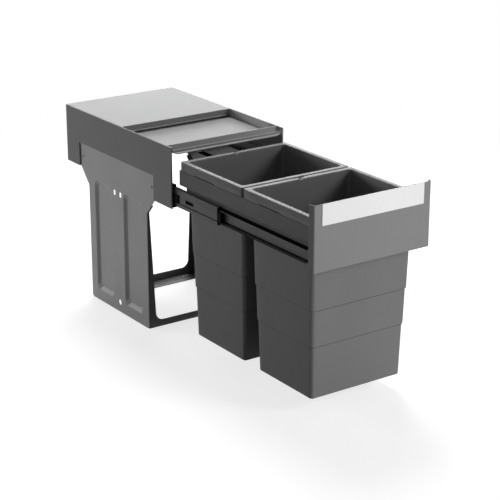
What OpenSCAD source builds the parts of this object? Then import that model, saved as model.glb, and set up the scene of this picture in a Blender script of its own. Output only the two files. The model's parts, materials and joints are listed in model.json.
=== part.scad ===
// Pull out double bin unit for a 300 mm base cabinet, drawn with the drawer fully out.
// Millimetres. +Z is up, the drawer pulls out towards -Y.
// The origin is on the underside, in the middle of the four base fixing holes.

/* [Cover] */
// Outer width of the cover over its two skirts
cover_w = 260; // [250:1:320]
// Depth of the cover from front to back
cover_d = 408; // [400:1:470]
// Height of the whole fixed frame, from base to top of cover
unit_h = 398; // [390:1:440]
// Wall of the cover
cover_t = 3; // [2:0.5:4]
// Height of the side skirts of the cover
skirt_h = 120; // [115:1:130]
// Height of the open notch in each skirt, where the side plate shows
notch_h = 50; // [20:1:55]
// Distance from the cover front to the folded edge behind the tray
tray_d = 184; // [120:1:260]
// Height of the fold behind the tray
fold_h = 12.6; // [6:0.2:13]
// Height of the flange at the back of the cover
rear_flange_h = 20; // [8:1:22]

/* [Storage tray] */
// Sheet thickness of the tray
tray_t = 1.5; // [1:0.25:2]
// Depth of the tray floor under the top of the cover
tray_sink = 16.5; // [15:0.5:18]
// Depth of the front lip under the top of the cover
lip_sink = 13.3; // [12:0.1:14.5]
// Width of the front lip, front to back
lip_d = 9.5; // [7:0.5:10]
// Distance from the cover front to the top edge of the apron
apron_y = 18; // [16:0.5:24]
// Radius at both ends of the lip, where it turns up into the skirt
lip_r = 14.7; // [10:0.1:16]

/* [Side plates] */
// Sheet thickness of the side plates
plate_t = 1.5; // [1:0.25:2.5]
// Length of the lower part of a side plate
plate_low_len = 228; // [215:1:250]
// Length of the upper part of a side plate
plate_top_len = 291; // [286:1:320]
// Height of the sloping shoulder between the two parts
shoulder_h = 34.6; // [20:0.2:40]
// Height of the plate behind the skirt, above the notch
plate_lap = 15; // [10:1:20]
// Distance from cover front to the middle of the side plates
plate_set = 211; // [200:1:220]
// Radius of the lower corners of a side plate
plate_r = 6; // [3:1:12]
// Width of a sunk channel
channel_w = 68.5; // [50:0.5:74]
// Distance between the middles of the two channels
channel_pitch = 114.5; // [106:0.5:118]
// Distance from the top of the channels up to the skirts
channel_top_gap = 15.5; // [12:0.5:60]
// Height of the lower end of the channels above the base
channel_z = 23; // [20:1:40]
// Depth of a channel
channel_deep = 5; // [3:0.5:6]
// Width of the sloping wall of a channel
channel_bevel = 8; // [5:0.5:12]
// Diameter of the round hole near the bottom
cable_hole_d = 11.5; // [6:0.5:14]
// Distance of the screw holes to the cabinet wall from the ends of the side plates
side_hole_in = 10; // [6:0.5:20]
// Diameter of all fixing screw holes
fix_hole_d = 5; // [4:0.5:6]

/* [Front and rear stays] */
// Sheet thickness of the stays
stay_t = 1.5; // [1:0.25:2]
// Visible width of a front upright at the bar
front_upright_w = 18; // [14:0.5:20]
// Visible width of a rear upright at the bar
rear_upright_w = 16.5; // [14:0.5:20]
// Visible width of an upright at the shoulder of the side plate
upright_top_w = 6; // [4:0.5:12]
// Share of the shoulder that the stay follows upwards
shoulder_share = 0.55; // [0.2:0.05:0.9]
// Height of the front bar
front_bar_h = 14; // [10:1:22]
// Height of the rear bar
rear_bar_h = 16; // [10:1:22]
// Inner radius between an upright and a bar
stay_r = 17; // [10:1:24]
// Width of the base flange of the front stay
front_foot_d = 25; // [22:1:50]
// Width of the base flange of the rear stay
rear_foot_d = 38; // [22:1:60]
// Distance of the base holes from the sides of the cover
base_hole_in = 40; // [20:1:80]
// Distance of the base holes from the front and rear edges of the frame
base_hole_edge = 14; // [10:1:18]

/* [Slides] */
// Distance from the back of the cover to the back ends of the slides
slide_back_gap = 6; // [4:1:20]
// Length by which the middle members are shorter than the outer and inner ones
middle_short = 44; // [43:1:70]
// Sheet thickness of the slide members
slide_t = 1.2; // [1:0.1:1.3]
// Thickness of a whole slide
slide_thick = 12.7; // [12.6:0.1:14]
// Height of the outer members
outer_h = 45; // [44.8:0.1:46]
// Height of the middle members
middle_h = 35; // [34.4:0.1:35.1]
// Height of the inner members
inner_h = 25; // [23:0.1:25.1]
// Depth of the middle line of the slides under the top of the cover
slide_drop = 97; // [96.5:0.5:98]
// Running clearance between parts that pass each other
run_gap = 0.3; // [0.2:0.05:0.35]
// Ball diameter
ball_d = 3.2; // [2.8:0.1:3.2]
// Balls in one row
balls_per_row = 7; // [3:1:8]
// Distance between neighbouring balls
ball_pitch = 12; // [8:0.5:12.5]
// Travel of the drawer beyond the length of its slides
extra_travel = 9; // [-20:1:12]

/* [Drawer] */
// Sheet thickness of the drawer sides
side_t = 1.5; // [1:0.25:1.5]
// Height of the upper part of a drawer side
side_upper_h = 31; // [28:1:31]
// Height of the lower part of a drawer side
side_lower_h = 37; // [30:1:50]
// Length cut away from the lower part at the back
side_notch = 11.5; // [8:0.5:30]
// Distance from the back of the cover to the back of the drawer, when closed
drawer_back_gap = 23; // [22:0.5:30]
// Width of the bars between the drawer sides
bar_w = 12.5; // [10:0.5:13]
// Height of the bars between the drawer sides
bar_h = 22; // [15:0.5:24]
// Screw shank diameter
screw_d = 4; // [3:0.5:4.5]
// Screw head diameter
screw_head_d = 7; // [6:0.5:8]
// Screw head height
screw_head_h = 1.4; // [1:0.1:1.5]

/* [Front panel] */
// Distance from each side of the cover to the bend of the front panel
panel_in = 3.35; // [3:0.05:8]
// Height of the front panel
panel_h = 120.5; // [100:0.5:130]
// Height of the front panel above the top of the cover
panel_up = 3; // [0:0.5:8]
// Distance from the cover front to the panel face, with the drawer closed
panel_closed = 43; // [40:1:50]
// Sheet thickness of the panel
panel_t = 1.5; // [1:0.25:2]
// Depth of the turned back edges of the panel
wing_d = 10.7; // [6:0.1:14]
// Distance that the turned back edges lean outwards
wing_out = 4.1; // [1:0.1:5]
// Distance from the bends of the front panel to the label plate
label_in = 15.9; // [4:0.1:60]
// Height of the label plate
label_h = 38.4; // [20:0.2:60]
// Thickness of the label plate
label_t = 1; // [0.5:0.25:1.5]

/* [Bins] */
// Distance from each side of the cover to the rims of the bins
bin_in = 9; // [8:0.5:11]
// Distance between the rims of the two bins
bin_gap = 4.1; // [3:0.1:8]
// Distance from the front panel to the rim of the front bin
bin_front_gap = 13.7; // [8:0.1:24]
// Depth of the rims under the top of the cover
rim_drop = 23.4; // [23:0.2:28]
// Height of the turned down rim
rim_h = 17.5; // [14:0.5:18]
// Width of the rim along the sides of a bin
rim_side_w = 10; // [10:0.25:14]
// Width of the rim at the front and back of a bin
rim_end_w = 9.25; // [9.25:0.25:14]
// Height of the bottoms of the bins above the base
bin_ground = 28.6; // [20:0.2:70]
// Wall of a bin
bin_t = 2; // [1.5:0.25:2.5]
// Amount by which the body narrows from top to bottom, before its two steps
taper_w = 15; // [8:0.5:24]
// Amount by which the body shortens from top to bottom, before its two steps
taper_len = 17; // [8:0.5:24]
// Radius of the upright corners of a bin
bin_r = 8; // [7.5:0.5:12]
// Width of each of the two steps in a bin body
bin_step = 1.5; // [1:0.25:1.5]
// Height of the lower step above the bottom of a bin
low_step_h = 99.5; // [60:0.5:120]
// Height of the upper step above the bottom of a bin
high_step_h = 168.5; // [140:0.5:220]
// Outward flare of the bin opening inside the rim
bin_flare = 1.7; // [0.5:0.1:2]

/* [Rear bracket] */
// Thickness of the bracket plate
bracket_t = 1.5; // [1:0.25:2.5]
// Depth of the bracket plate top under the top of the cover
bracket_drop = 30; // [28:0.5:34]
// Length that the bracket reaches out behind the drawer
bracket_len = 60; // [50:1:65]
// Distance from the middle to the right end of the bracket
bracket_right = 25.5; // [20:0.5:60]
// Distance from the middle to the left end of the bracket, at the drawer
bracket_left = 82; // [70:0.5:100]
// Thickness of the moulded pad under the plate
bracket_pad_h = 5; // [3:0.5:8]
// Height of the moulded body under the plate, with the pad
bracket_body_h = 26; // [18:1:34]

/* [Hidden] */
$fn = 64;

// Overlap of a cutting shape past the face that it cuts
cut = 1;
// Segments of a rounded shape inside a hull
hull_fn = 32;
// Thickness of the slabs that a tapered shape spans between
slab = 0.01;

// Fixed frame
front_y = -plate_set;
back_y = front_y + cover_d;
skirt_z = unit_h - skirt_h;
skirt_x = cover_w / 2 - cover_t;
plate_x = skirt_x - plate_t;
notch_z = skirt_z + notch_h;
fold_y = front_y + tray_d;
bead_r = 1;
tray_lap = 30;
lip_z = unit_h - lip_sink;
floor_z = unit_h - tray_sink;
tray_corner_d = 45;
apron_top_w = 2;
bead_y = 12.5;
bead_drop = 9.5;
channel_cut = 7;
peep_w = 8;
peep_h = 10;
peep_pitch = 23;
peep_drop = 19;
cable_hole_z = 21;
stay_y = plate_low_len / 2;
shoulder_z = skirt_z - shoulder_h;
channel_h = skirt_z - channel_top_gap - channel_z;
side_hole_pitch = plate_top_len - 2 * side_hole_in;
base_pitch_x = cover_w - 2 * base_hole_in;
base_pitch_y = plate_low_len - 2 * base_hole_edge;
leg_d = 18;

// Slides, placed from the web of the outer member inwards
slide_z = unit_h - slide_drop;
slide_x = plate_x;
outer_stop_len = 7;
outer_set = 4;
outer_front_y = front_y + outer_set + outer_stop_len;
slide_len = back_y - slide_back_gap - outer_front_y;
middle_len = slide_len - middle_short;
inner_len = slide_len;
travel = slide_len + extra_travel;
outer_depth = 9.5;
lug_gap = 0.4;
web_gap = slide_t;
middle_x = slide_x - slide_t - web_gap;
inner_x = slide_x - slide_thick;
middle_tip_x = inner_x + slide_t + lug_gap;
inner_depth = 7.7;
cage_t = 0.6;
outer_race_z = (outer_h / 2 - slide_t + middle_h / 2) / 2;
inner_race_z = (middle_h / 2 - slide_t + inner_h / 2) / 2;
// Half the travel is run by the middle members
middle_front_y = outer_front_y + slide_len - middle_len - travel / 2;
stop_len = 12;
stop_gap = 1.5;
tongue_len = 20;
tongue_h = 15;
cage_end = 8;
cage_len = (balls_per_row - 1) * ball_pitch + 2 * cage_end;
cage_set = 0.5;
cage_outer_y = outer_front_y + cage_end;
cage_inner_y = middle_front_y + stop_len;
cage_outer_web = slide_x - slide_t - run_gap;
cage_inner_web = middle_x - slide_t - run_gap;
ball_outer_x = slide_x - (slide_t + outer_depth) / 2;
ball_inner_x = (middle_x + inner_x) / 2;
ball_hole_gap = 0.1;
inner_set = 11;
inner_back_y = front_y - inner_set + inner_len - travel;

// Drawer, placed from its closed position less the travel
panel_w = cover_w - 2 * panel_in;
label_w = panel_w - 2 * label_in;
panel_y = front_y - panel_closed - travel;
panel_back_y = panel_y + panel_t;
side_front_y = panel_back_y;
side_back_y = front_y + cover_d - drawer_back_gap - travel;
rim_z = unit_h - rim_drop;
side_top_z = rim_z - rim_h;
rim_back = 3.7;
step_z = side_top_z - side_upper_h;
side_low_z = step_z - side_lower_h;
bin_w = cover_w - 2 * bin_in;
body_top_w = bin_w - 2 * rim_side_w;
body_low_w = body_top_w - taper_w;
bin_len = (side_back_y - rim_back - panel_back_y - bin_front_gap - bin_gap) / 2;
body_top_len = bin_len - 2 * rim_end_w;
body_low_len = body_top_len - taper_len;
bin_h = rim_z - bin_ground;
side_x = bin_w / 2;
side_low_x = inner_x;
// Gap between the body of a bin and the edge of the seat under its rim
seat_gap = 0.3;
seat_x = body_top_w / 2 + seat_gap;
edge_cut = 1;
bar_z = side_top_z - side_t;
rear_bin_y = side_back_y - rim_back - bin_len / 2;
front_bin_y = rear_bin_y - bin_len - bin_gap;
bar_mid_y = (rear_bin_y + front_bin_y) / 2;
tab_w = 18;
tab_short = 10;
tab_h = side_upper_h + side_lower_h - tab_short;
panel_bite = 1;
panel_screw_z = [12, 45];
slide_screw_y = [30, 170, 330];
bracket_z = unit_h - bracket_drop;
bracket_slant = 0.444;
bracket_slot_x = -38;
bracket_slot_w = 16;
bracket_slot_front = 10;
bracket_slot_back = 4;
bracket_hole_x = -7;
bracket_hole_back = 18;
body_lead = 7;
bracket_screw_x = [-60, 0];
bracket_screw_z = bar_z - bar_h / 2;
bracket_screw_in = 8;
body_block_w = 84;
body_block_set = 26;
body_block_len = 32;

// Notch in the back edge of each rim
notch_w = 24;
notch_d = 2.5;

FRAME = [0.36, 0.36, 0.37];
PLATE = [0.47, 0.47, 0.48];
COVER = [0.6, 0.6, 0.61];
STEEL = [0.42, 0.42, 0.43];
BLACK = [0.08, 0.08, 0.09];
BALL = [0.75, 0.76, 0.78];
BIN = [0.38, 0.38, 0.39];
PANEL = [0.45, 0.45, 0.46];
LABEL = [0.93, 0.93, 0.93];

// Draws its children on the right side, or mirrored on the left side
module on_side(s) {
    if (s < 0)
        mirror([1, 0, 0]) children();
    else
        children();
}

// Box given by its lowest and highest corner
module box(lo, hi) {
    translate(lo) cube(hi - lo);
}

// Hole or shank along X, from x0 to x1
module rod_x(d, x0, x1, y, z) {
    translate([x0, y, z]) rotate([0, 90, 0]) cylinder(d = d, h = x1 - x0);
}

// Hole or shank along Y, from y0 to y1
module rod_y(d, x, y0, y1, z) {
    translate([x, y0, z]) rotate([-90, 0, 0]) cylinder(d = d, h = y1 - y0);
}

// Flat rectangle with round corners, centred
module round_rect(w, l, r, fn = 64) {
    square([w - 2 * r, l], center = true);
    square([w, l - 2 * r], center = true);
    for (i = [-1, 1], j = [-1, 1])
        translate([i * (w / 2 - r), j * (l / 2 - r)]) circle(r = r, $fn = fn);
}

// Sloping sided channel, from the outer face of the plate at x inwards
module channel_shape(x, deep, w, h, bevel) {
    hull() {
        translate([x, 0, 0]) channel_slab(w, h, channel_cut);
        translate([x - deep, 0, 0]) channel_slab(w - 2 * bevel, h - 2 * bevel, channel_cut);
    }
}

// Thin upright slab with cut corners, in the YZ plane
module channel_slab(w, h, c) {
    a = w / 2;
    b = h / 2;
    rotate([90, 0, 90])
        linear_extrude(slab)
            polygon([[-a + c, -b], [a - c, -b], [a, -b + c], [a, b - c],
                [a - c, b], [-a + c, b], [-a, b - c], [-a, -b + c]]);
}

// Outline of a side plate in Y and Z
module plate_outline() {
    low = plate_low_len / 2;
    top = plate_top_len / 2;
    polygon([[-low + plate_r, 0], [low - plate_r, 0], [low, plate_r], [low, skirt_z - shoulder_h],
        [top, skirt_z], [top, notch_z + plate_lap], [-top, notch_z + plate_lap],
        [-top, skirt_z], [-low, skirt_z - shoulder_h], [-low, plate_r]]);
    for (i = [-1, 1])
        translate([i * (low - plate_r), plate_r]) circle(r = plate_r);
}

module side_plate(s) {
    mid_z = channel_z + channel_h / 2;
    color(PLATE)
        on_side(s)
            difference() {
                union() {
                    translate([plate_x, 0, 0])
                        rotate([90, 0, 90]) linear_extrude(plate_t) plate_outline();
                    for (i = [-1, 1])
                        translate([0, i * channel_pitch / 2, mid_z])
                            channel_shape(plate_x + plate_t / 2, channel_deep + plate_t / 2,
                                channel_w, channel_h, channel_bevel);
                }
                for (i = [-1, 1])
                    translate([0, i * channel_pitch / 2, mid_z])
                        channel_shape(skirt_x, channel_deep, channel_w - plate_t, channel_h - plate_t,
                            channel_bevel);
                for (i = [-1, 1])
                    box([plate_x - cut, i * peep_pitch / 2 - peep_w / 2, skirt_z - peep_drop - peep_h],
                        [skirt_x + cut, i * peep_pitch / 2 + peep_w / 2, skirt_z - peep_drop]);
                rod_x(cable_hole_d, plate_x - cut, skirt_x + cut, 0, cable_hole_z);
                for (i = [-1, 1])
                    rod_x(fix_hole_d, plate_x - cut, skirt_x + cut, i * side_hole_pitch / 2, slide_z);
            }
}

// U shaped stay with its sheet from y 0 to stay_t and its legs and foot towards +Y
module stay(bar_h, foot_d, low_w) {
    rise = shoulder_share * [(plate_low_len - plate_top_len) / 2, shoulder_h];
    // The inner edge of an upright leans outwards by this angle
    lean = atan((low_w - upright_top_w) / (shoulder_z - bar_h));
    low_x = skirt_x - low_w;
    top_x = low_x + (shoulder_z + cut - bar_h) * tan(lean);
    round_x = low_x - stay_r * (1 - sin(lean)) / cos(lean);
    tip = [round_x + stay_r * cos(lean), bar_h + stay_r - stay_r * sin(lean)];
    difference() {
        box([-plate_x, 0, 0], [plate_x, stay_t, shoulder_z]);
        translate([0, stay_t + cut, 0])
            rotate([90, 0, 0])
                linear_extrude(stay_t + 2 * cut)
                    polygon([[-round_x, bar_h], [round_x, bar_h], tip, [top_x, shoulder_z + cut],
                        [-top_x, shoulder_z + cut], [-tip[0], tip[1]]]);
        for (i = [-1, 1])
            rod_y(2 * stay_r, i * round_x, -cut, stay_t + cut, bar_h + stay_r);
    }
    for (i = [-1, 1])
        on_side(i) {
            box([plate_x - stay_t, 0, 0], [plate_x, leg_d, shoulder_z]);
            translate([skirt_x - upright_top_w, 0, shoulder_z])
                rotate([90, 0, 90])
                    linear_extrude(upright_top_w - plate_t)
                        polygon([[0, 0], [stay_t, 0], [stay_t, 0] + rise, rise]);
        }
    difference() {
        box([-plate_x, 0, 0], [plate_x, foot_d, stay_t]);
        for (i = [-1, 1])
            translate([i * base_pitch_x / 2, stay_y - base_pitch_y / 2, -cut])
                cylinder(d = fix_hole_d, h = stay_t + 2 * cut);
    }
}

module front_stay() {
    color(FRAME) translate([0, -stay_y, 0]) stay(front_bar_h, front_foot_d, front_upright_w);
}

module rear_stay() {
    color(FRAME)
        mirror([0, 1, 0])
            translate([0, -stay_y, 0]) stay(rear_bar_h, rear_foot_d, rear_upright_w);
}

module top_cover() {
    color(COVER)
        union() {
            box([-cover_w / 2, fold_y, unit_h - cover_t], [cover_w / 2, back_y, unit_h]);
            for (i = [-1, 1])
                on_side(i)
                    difference() {
                        box([skirt_x, front_y, skirt_z], [cover_w / 2, back_y, unit_h]);
                        box([skirt_x - cut, -plate_top_len / 2, skirt_z - cut],
                            [cover_w / 2 + cut, plate_top_len / 2, notch_z]);
                    }
            box([-skirt_x, fold_y, unit_h - fold_h], [skirt_x, fold_y + cover_t / 2, unit_h]);
            rod_x(2 * bead_r, -skirt_x, skirt_x, fold_y + bead_r / 2, unit_h - fold_h);
            box([-skirt_x, back_y - cover_t, unit_h - rear_flange_h], [skirt_x, back_y, unit_h]);
        }
}

// Tray sheet seen from the side, as Y from the cover front and Z from the cover top
module tray_profile() {
    t = tray_t;
    back = tray_d + tray_lap;
    wall = apron_y + apron_top_w;
    polygon([[0, -lip_sink], [lip_d, -lip_sink], [lip_d + t, -bead_drop - t], [bead_y, -bead_drop],
        [apron_y, 0], [wall, 0], [wall, -tray_sink], [back, -tray_sink], [back, -tray_sink - t],
        [wall - t, -tray_sink - t], [wall - t, -t], [bead_y + t, -bead_drop],
        [lip_d + 2 * t, -lip_sink - t], [0, -lip_sink - t]]);
}

// Quarter round at one end of the tray, from the lip up into the skirt
module tray_corner() {
    z = lip_z + lip_r;
    x = skirt_x - lip_r;
    intersection() {
        difference() {
            rod_y(2 * (lip_r + tray_t), x, front_y, front_y + tray_corner_d, z);
            rod_y(2 * lip_r, x, front_y - cut, front_y + tray_corner_d + cut, z);
        }
        box([x, front_y, z - 2 * lip_r], [skirt_x, front_y + tray_corner_d, unit_h]);
    }
    // These two walls close the step between the round corner and the tray floor
    difference() {
        box([x, front_y + tray_corner_d - tray_t, floor_z - tray_t],
            [skirt_x, front_y + tray_corner_d, unit_h]);
        rod_y(2 * lip_r, x, front_y, front_y + tray_corner_d + cut, z);
    }
    box([x - tray_t, front_y + apron_y, floor_z - tray_t], [x, front_y + tray_corner_d, lip_z]);
}

module storage_tray() {
    x = skirt_x - lip_r;
    color(COVER)
        union() {
            difference() {
                translate([-skirt_x, front_y, unit_h])
                    rotate([90, 0, 90]) linear_extrude(2 * skirt_x) tray_profile();
                for (i = [-1, 1])
                    on_side(i)
                        difference() {
                            box([x, front_y - cut, floor_z - tray_t - cut],
                                [skirt_x + cut, front_y + tray_corner_d - tray_t, unit_h + cut]);
                            rod_y(2 * (lip_r + tray_t / 2), x, front_y - cut,
                                front_y + tray_corner_d, lip_z + lip_r);
                        }
            }
            for (i = [-1, 1])
                on_side(i) tray_corner();
        }
}

// Slide member from y0 to y1, with its web from web_a to web_b and its flanges out to the tip
module c_member(web_a, web_b, tip_a, tip_b, h, y0, y1) {
    difference() {
        box([min(web_a, tip_a), y0, slide_z - h / 2], [max(web_b, tip_b), y1, slide_z + h / 2]);
        box([tip_a < web_a ? tip_a - cut : web_b, y0 - cut, slide_z - h / 2 + slide_t],
            [tip_a < web_a ? web_a : tip_b + cut, y1 + cut, slide_z + h / 2 - slide_t]);
    }
}

module slide_outer(s) {
    color(STEEL)
        on_side(s)
            difference() {
                c_member(slide_x - slide_t, slide_x, slide_x - outer_depth, slide_x, outer_h,
                    outer_front_y, outer_front_y + slide_len);
                for (i = [-1, 1])
                    rod_x(fix_hole_d, slide_x - slide_t - cut, slide_x + cut,
                        i * side_hole_pitch / 2, slide_z);
            }
}

// Moulded end piece on the front of the outer member, with a tongue outside the middle member
module outer_stop(s) {
    half = outer_h / 2;
    lug_z = middle_h / 2 + lug_gap;
    y0 = outer_front_y - outer_stop_len;
    web_x = middle_x + run_gap;
    color(BLACK)
        on_side(s) {
            box([web_x, y0, slide_z - half], [slide_x, outer_front_y, slide_z + half]);
            box([web_x, y0 - tongue_len, slide_z - tongue_h / 2], [slide_x, y0, slide_z + tongue_h / 2]);
            for (i = [-1, 1])
                box([slide_x - outer_depth, y0, slide_z + (i < 0 ? -half : lug_z)],
                    [slide_x, outer_front_y, slide_z + (i < 0 ? -lug_z : half)]);
        }
}

module slide_middle(s) {
    hole_y = front_y - 52;
    hole_w = 7;
    hole_len = 28;
    pitch = hole_len - hole_w;
    ridge_h = 16;
    ridge_d = 0.4;
    color(STEEL)
        on_side(s)
            difference() {
                c_member(middle_x - slide_t, middle_x, middle_tip_x, middle_x, middle_h,
                    middle_front_y, middle_front_y + middle_len);
                for (i = [-1, 1])
                    rod_x(hole_w, middle_x - slide_t - cut, middle_x + cut, hole_y + i * pitch / 2,
                        slide_z);
                box([middle_x - slide_t - cut, hole_y - pitch / 2, slide_z - hole_w / 2],
                    [middle_x + cut, hole_y + pitch / 2, slide_z + hole_w / 2]);
                // The web stands a little proud of the two races
                for (i = [-1, 1])
                    translate([middle_x - ridge_d, middle_front_y - cut,
                        slide_z + i * (ridge_h + middle_h) / 4 - (middle_h - ridge_h) / 4])
                        cube([ridge_d + cut, middle_len + 2 * cut, (middle_h - ridge_h) / 2]);
            }
}

// Moulded end piece with two hooks on the front of the middle member
module middle_stop(s) {
    y0 = middle_front_y - stop_len;
    block_h = 18;
    hook_h = 32;
    hook_d = 4;
    color(BLACK)
        on_side(s) {
            box([inner_x + slide_t + stop_gap, y0, slide_z - block_h / 2],
                [middle_x, middle_front_y, slide_z + block_h / 2]);
            box([inner_x + inner_depth + run_gap, middle_front_y - hook_d, slide_z - hook_h / 2],
                [middle_x, middle_front_y, slide_z + hook_h / 2]);
        }
}

// Sheet cage of one ball race pair: web and two flanges with ball holes
module cage(web_a, web_b, tip_x, race_z, ball_x, y0) {
    difference() {
        union() {
            box([web_a, y0, slide_z - race_z - cage_t / 2],
                [web_b, y0 + cage_len, slide_z + race_z + cage_t / 2]);
            for (i = [-1, 1])
                box([tip_x, y0, slide_z + i * race_z - cage_t / 2],
                    [web_b, y0 + cage_len, slide_z + i * race_z + cage_t / 2]);
        }
        for (k = [0 : balls_per_row - 1])
            translate([ball_x, y0 + cage_end + k * ball_pitch, slide_z - race_z - cut])
                cylinder(d = ball_d + ball_hole_gap, h = 2 * race_z + 2 * cut, $fn = 32);
    }
}

// Balls of both rows of one cage
module balls(race_z, ball_x, y0) {
    for (i = [-1, 1], k = [0 : balls_per_row - 1])
        translate([ball_x, y0 + cage_end + k * ball_pitch, slide_z + i * race_z])
            sphere(d = ball_d, $fn = 24);
}

module cage_outer(s) {
    color(STEEL)
        on_side(s)
            cage(cage_outer_web - cage_t, cage_outer_web, slide_x - outer_depth + cage_set,
                outer_race_z, ball_outer_x, cage_outer_y);
}

module cage_inner(s) {
    color(STEEL)
        on_side(s)
            cage(cage_inner_web - cage_t, cage_inner_web, inner_x + slide_t + run_gap, inner_race_z,
                ball_inner_x, cage_inner_y);
}

module balls_outer(s) {
    color(BALL) on_side(s) balls(outer_race_z, ball_outer_x, cage_outer_y);
}

module balls_inner(s) {
    color(BALL) on_side(s) balls(inner_race_z, ball_inner_x, cage_inner_y);
}

module slide_inner(s) {
    y0 = inner_back_y - inner_len;
    color(STEEL)
        on_side(s)
            difference() {
                c_member(inner_x, inner_x + slide_t, inner_x, inner_x + inner_depth, inner_h,
                    y0, inner_back_y);
                for (y = slide_screw_y)
                    rod_x(screw_d, inner_x - cut, inner_x + slide_t + cut, inner_back_y - y, slide_z);
            }
}

// Screws from the inner member into the drawer side
module slide_screws(s) {
    head_x = inner_x - side_t;
    color(BALL)
        on_side(s)
            for (y = slide_screw_y) {
                rod_x(screw_d, head_x, inner_x + slide_t, inner_back_y - y, slide_z);
                rod_x(screw_head_d, head_x - screw_head_h, head_x, inner_back_y - y, slide_z);
            }
}

// Stepped sheet side of the drawer, with a tab at the front for the panel
module drawer_side(s) {
    low_x = side_low_x;
    color(FRAME)
        on_side(s)
            difference() {
                union() {
                    translate([0, side_back_y, 0])
                        rotate([90, 0, 0])
                            linear_extrude(side_back_y - side_front_y)
                                polygon([[seat_x, side_top_z], [side_x - edge_cut, side_top_z],
                                    [side_x, side_top_z - edge_cut], [side_x, step_z],
                                    [low_x, step_z], [low_x, side_low_z],
                                    [low_x - side_t, side_low_z], [low_x - side_t, step_z + side_t],
                                    [side_x - side_t, step_z + side_t],
                                    [side_x - side_t, side_top_z - side_t],
                                    [seat_x, side_top_z - side_t]]);
                    box([low_x - side_t - tab_w, side_front_y, side_low_z],
                        [low_x, side_front_y + side_t, side_low_z + tab_h]);
                }
                box([low_x - side_t - cut, side_back_y - side_notch, side_low_z - cut],
                    [low_x + cut, side_back_y + cut, step_z]);
                for (y = slide_screw_y)
                    rod_x(screw_d, low_x - side_t - cut, low_x + cut, inner_back_y - y, slide_z);
                for (z = panel_screw_z)
                    rod_y(screw_d, low_x - side_t - tab_w / 2, side_front_y - cut,
                        side_front_y + side_t + cut, side_low_z + z);
            }
}

// Channel shaped bar between the drawer sides, open below
module cross_bar(y) {
    inner = side_x - side_t;
    difference() {
        box([-inner, y - bar_w / 2, bar_z - bar_h], [inner, y + bar_w / 2, bar_z]);
        box([-inner - cut, y - bar_w / 2 + side_t, bar_z - bar_h - cut],
            [inner + cut, y + bar_w / 2 - side_t, bar_z - side_t]);
    }
}

module cross_bar_rear() {
    color(FRAME)
        difference() {
            cross_bar(side_back_y - bar_w / 2);
            for (x = bracket_screw_x)
                rod_y(screw_d, x, side_back_y - side_t - cut, side_back_y + cut, bracket_screw_z);
        }
}

module cross_bar_middle() {
    color(FRAME) cross_bar(bar_mid_y);
}

module front_panel() {
    a = panel_w / 2;
    b = a + wing_out;
    z0 = unit_h + panel_up - panel_h;
    color(PANEL)
        difference() {
            translate([0, panel_y, z0])
                linear_extrude(panel_h)
                    polygon([[-a, 0], [a, 0], [b, wing_d], [b - panel_t, wing_d],
                        [a - panel_t, panel_t], [-a + panel_t, panel_t], [-b + panel_t, wing_d],
                        [-b, wing_d]]);
            for (i = [-1, 1], z = panel_screw_z)
                rod_y(screw_d, i * (side_low_x - side_t - tab_w / 2), panel_back_y - panel_bite,
                    panel_back_y + cut, side_low_z + z);
        }
}

module label_plate() {
    top = unit_h + panel_up;
    color(LABEL)
        box([-label_w / 2, panel_y - label_t, top - label_h], [label_w / 2, panel_y, top]);
}

// Screws that hold the panel to the tabs of the drawer sides
module panel_screws() {
    y1 = side_front_y + side_t;
    color(BALL)
        for (i = [-1, 1], z = panel_screw_z) {
            x = i * (side_low_x - side_t - tab_w / 2);
            rod_y(screw_d, x, panel_back_y - panel_bite, y1, side_low_z + z);
            rod_y(screw_head_d, x, y1, y1 + screw_head_h, side_low_z + z);
        }
}

// Outline of the bracket: slanted at its left end
module bracket_outline(grow) {
    len = bracket_len;
    polygon([[-bracket_left - grow, 0], [bracket_right, 0], [bracket_right, len],
        [-bracket_left - grow + bracket_slant * len, len]]);
}

module rear_bracket() {
    hole = 4;
    color(STEEL)
        translate([0, side_back_y, bracket_z - bracket_t])
            difference() {
                linear_extrude(bracket_t) bracket_outline(0);
                translate([bracket_slot_x - bracket_slot_w / 2, bracket_slot_front, -cut])
                    cube([bracket_slot_w, bracket_len - bracket_slot_front - bracket_slot_back,
                        bracket_t + 2 * cut]);
                translate([bracket_hole_x, bracket_len - bracket_hole_back, -cut])
                    cylinder(d = hole, h = bracket_t + 2 * cut);
            }
}

module bracket_body() {
    top = bracket_z - bracket_t;
    color(BLACK)
        difference() {
            union() {
                translate([0, side_back_y, top - bracket_pad_h])
                    linear_extrude(bracket_pad_h) bracket_outline(body_lead);
                box([-body_block_w / 2 - body_block_set, side_back_y, top - bracket_body_h],
                    [body_block_w / 2 - body_block_set, side_back_y + body_block_len, top]);
            }
            for (x = bracket_screw_x)
                rod_y(screw_d, x, side_back_y - cut, side_back_y + bracket_screw_in, bracket_screw_z);
        }
}

module bracket_screws() {
    y0 = side_back_y - side_t;
    color(BALL)
        for (x = bracket_screw_x) {
            rod_y(screw_d, x, y0, side_back_y + bracket_screw_in, bracket_screw_z);
            rod_y(screw_head_d, x, y0 - screw_head_h, y0, bracket_screw_z);
        }
}

// Slab of the bin body at a height above its bottom
module bin_slab(h, inset) {
    k = h / bin_h;
    w = body_low_w + (body_top_w - body_low_w) * k - 2 * inset;
    l = body_low_len + (body_top_len - body_low_len) * k - 2 * inset;
    translate([0, 0, h]) linear_extrude(slab) round_rect(w, l, bin_r - inset, hull_fn);
}

// One tapered stretch of the bin body, between two heights
module bin_stretch(low, high, inset) {
    hull() {
        bin_slab(low, inset);
        bin_slab(high, inset);
    }
}

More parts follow.
